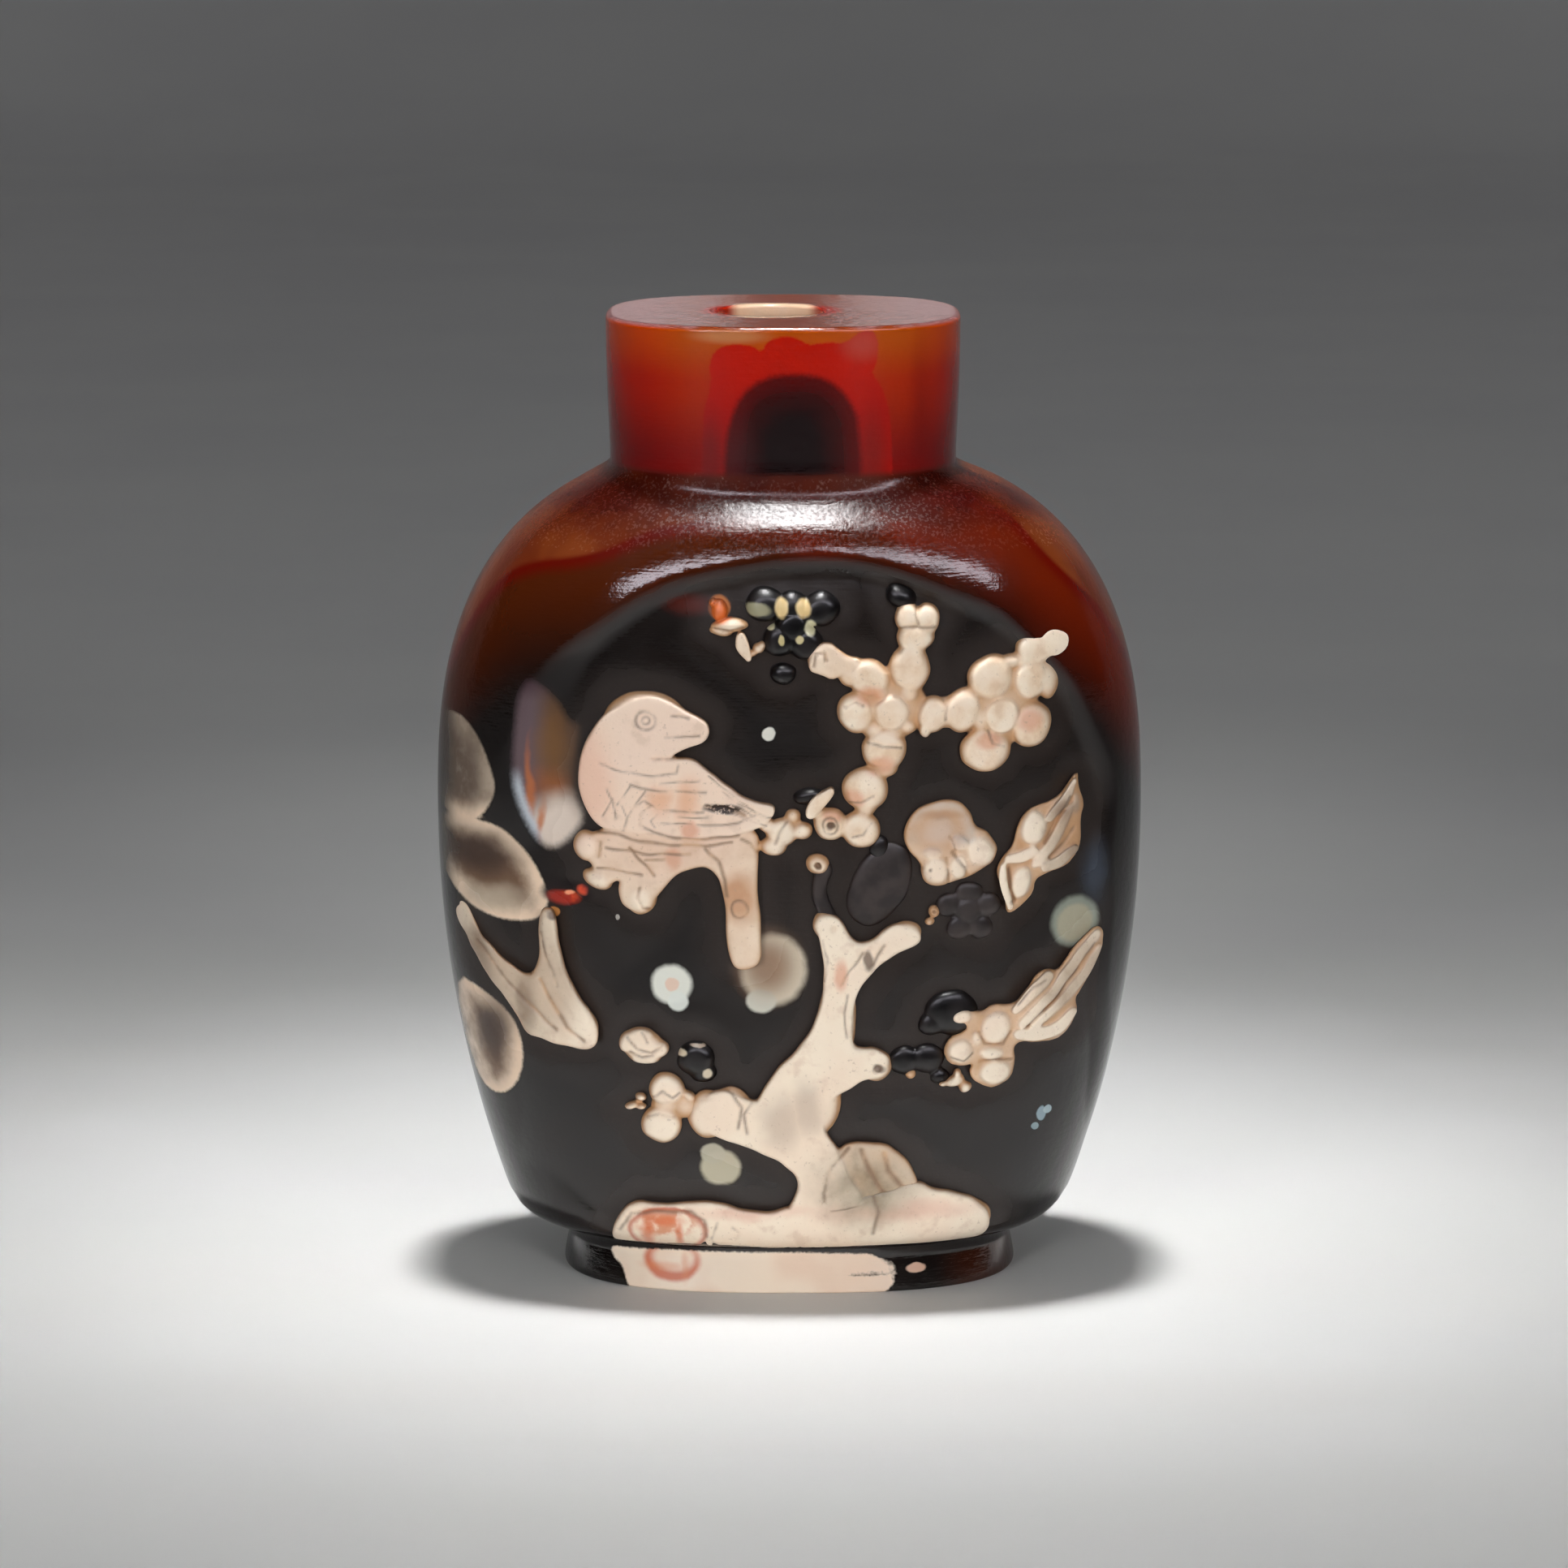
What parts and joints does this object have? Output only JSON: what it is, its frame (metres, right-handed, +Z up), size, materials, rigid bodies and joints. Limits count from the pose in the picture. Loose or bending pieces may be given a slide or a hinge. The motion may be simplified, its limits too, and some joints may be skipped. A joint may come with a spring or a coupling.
{
  "type": "snuff bottle",
  "caption": "Hollow oval agate snuff bottle without its stopper, with a short neck, a low oval foot, and a bird and blossoming tree carved in relief on the front.",
  "frame": {"origin": "centre of the foot's underside, on the surface that the bottle stands on", "axes": "+Z up through the mouth, +X to the right of someone who faces the carved front, and the front faces -Y"},
  "size_m": [0.0448, 0.027, 0.061],
  "materials": {
    "agate": "polished opaque stone"
  },
  "bodies": {
    "root": {"bottle": "agate"}
  },
  "joints": []
}
